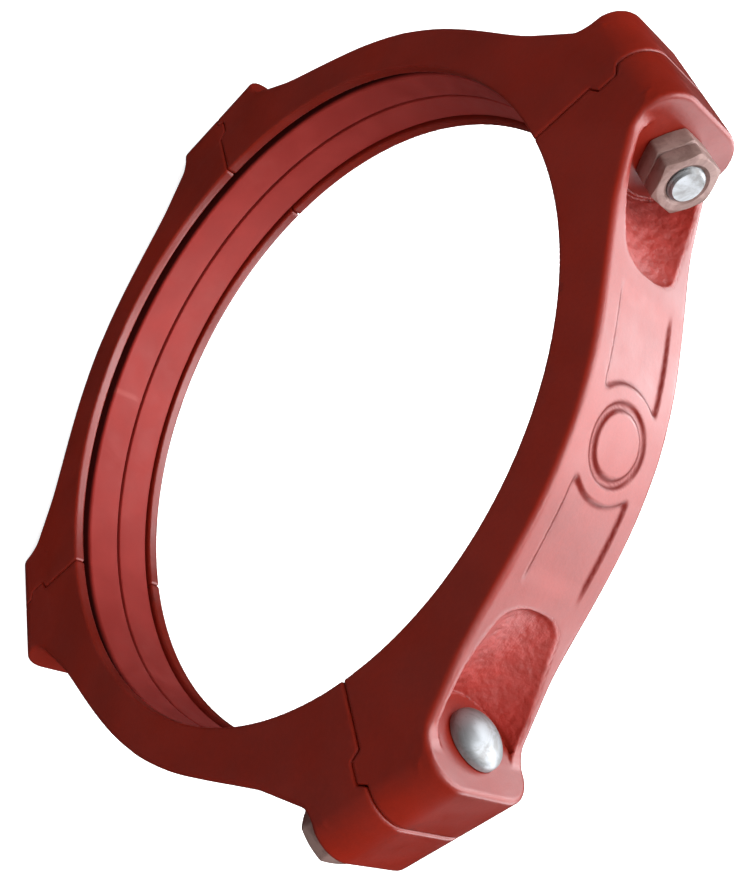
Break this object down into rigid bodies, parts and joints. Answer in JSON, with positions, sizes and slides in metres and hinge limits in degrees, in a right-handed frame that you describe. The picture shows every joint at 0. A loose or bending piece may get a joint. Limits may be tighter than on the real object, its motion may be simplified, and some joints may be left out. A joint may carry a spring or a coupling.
{
  "type": "grooved pipe coupling",
  "caption": "Large ring-shaped coupling for grooved pipe: cast housing segments with bolt pads, a rubber gasket inside, and track bolts with a nut and a lock nut at each joint.",
  "frame": {"origin": "centre of the ring, on its axis and at mid width", "axes": "+Y along the ring's axis (the pipe's axis), front face towards -Y; +Z from the centre to the middle of the top segment; +X to the right segment"},
  "size_m": [0.5106, 0.0764, 0.5106],
  "materials": {
    "housing_paint": "red paint on cast ductile iron, satin, a little chipped at the edges",
    "gasket_rubber": "red rubber, matt, slightly dusty",
    "bolt_zinc": "bright zinc plate",
    "nut_zinc": "dull zinc plate"
  },
  "bodies": {
    "base": {"housing_bottom": "housing_paint", "gasket": "gasket_rubber", "bolt_lower_left": "bolt_zinc"},
    "right": {"housing_right": "housing_paint", "bolt_lower_right": "bolt_zinc"},
    "top": {"housing_top": "housing_paint", "bolt_upper_right": "bolt_zinc"},
    "left": {"housing_left": "housing_paint", "bolt_upper_left": "bolt_zinc"},
    "nut_upper_left": {"nut_upper_left": "nut_zinc"},
    "lock_nut_upper_left": {"lock_nut_upper_left": "nut_zinc"},
    "nut_lower_right": {"nut_lower_right": "nut_zinc"},
    "lock_nut_lower_right": {"lock_nut_lower_right": "nut_zinc"},
    "nut_upper_right": {"nut_upper_right": "nut_zinc"},
    "lock_nut_upper_right": {"lock_nut_upper_right": "nut_zinc"},
    "nut_lower_left": {"nut_lower_left": "nut_zinc"},
    "lock_nut_lower_left": {"lock_nut_lower_left": "nut_zinc"}
  },
  "joints": [
    {"name": "right_slide", "type": "slide", "parent": "base", "child": "right", "axis": [0.7071, 0, 0.7071], "range_m": [0, 0.01]},
    {"name": "left_slide", "type": "slide", "parent": "base", "child": "left", "axis": [-0.7071, 0, 0.7071], "range_m": [0, 0.01]},
    {"name": "top_slide", "type": "slide", "parent": "right", "child": "top", "axis": [-0.7071, 0, 0.7071], "range_m": [0, 0.01]},
    {"name": "nut_upper_left_spin", "type": "hinge", "parent": "top", "child": "nut_upper_left", "pos_m": [-0.19516, 0, 0.19516], "axis": [0.7071, 0, 0.7071], "range_deg": [0, 1440.1]},
    {"name": "lock_nut_upper_left_spin", "type": "hinge", "parent": "top", "child": "lock_nut_upper_left", "pos_m": [-0.19516, 0, 0.19516], "axis": [0.7071, 0, 0.7071], "range_deg": [0, 1440.1]},
    {"name": "nut_lower_right_spin", "type": "hinge", "parent": "base", "child": "nut_lower_right", "pos_m": [0.19516, 0, -0.19516], "axis": [-0.7071, 0, -0.7071], "range_deg": [0, 1440.1]},
    {"name": "lock_nut_lower_right_spin", "type": "hinge", "parent": "base", "child": "lock_nut_lower_right", "pos_m": [0.19516, 0, -0.19516], "axis": [-0.7071, 0, -0.7071], "range_deg": [0, 1440.1]},
    {"name": "nut_upper_right_spin", "type": "hinge", "parent": "right", "child": "nut_upper_right", "pos_m": [0.19516, 0, 0.19516], "axis": [0.7071, 0, -0.7071], "range_deg": [0, 1440.1]},
    {"name": "lock_nut_upper_right_spin", "type": "hinge", "parent": "right", "child": "lock_nut_upper_right", "pos_m": [0.19516, 0, 0.19516], "axis": [0.7071, 0, -0.7071], "range_deg": [0, 1440.1]},
    {"name": "nut_lower_left_spin", "type": "hinge", "parent": "left", "child": "nut_lower_left", "pos_m": [-0.19516, 0, -0.19516], "axis": [-0.7071, 0, 0.7071], "range_deg": [0, 1440.1]},
    {"name": "lock_nut_lower_left_spin", "type": "hinge", "parent": "left", "child": "lock_nut_lower_left", "pos_m": [-0.19516, 0, -0.19516], "axis": [-0.7071, 0, 0.7071], "range_deg": [0, 1440.1]}
  ],
  "couplings": [
    {"joint": "nut_upper_left_spin", "follows": "right_slide", "rad_per_m": 2513.3},
    {"joint": "lock_nut_upper_left_spin", "follows": "right_slide", "rad_per_m": 2513.3},
    {"joint": "nut_lower_right_spin", "follows": "right_slide", "rad_per_m": 2513.3},
    {"joint": "lock_nut_lower_right_spin", "follows": "right_slide", "rad_per_m": 2513.3},
    {"joint": "top_slide", "follows": "left_slide", "ratio": 1},
    {"joint": "nut_upper_right_spin", "follows": "left_slide", "rad_per_m": 2513.3},
    {"joint": "lock_nut_upper_right_spin", "follows": "left_slide", "rad_per_m": 2513.3},
    {"joint": "nut_lower_left_spin", "follows": "left_slide", "rad_per_m": 2513.3},
    {"joint": "lock_nut_lower_left_spin", "follows": "left_slide", "rad_per_m": 2513.3}
  ]
}
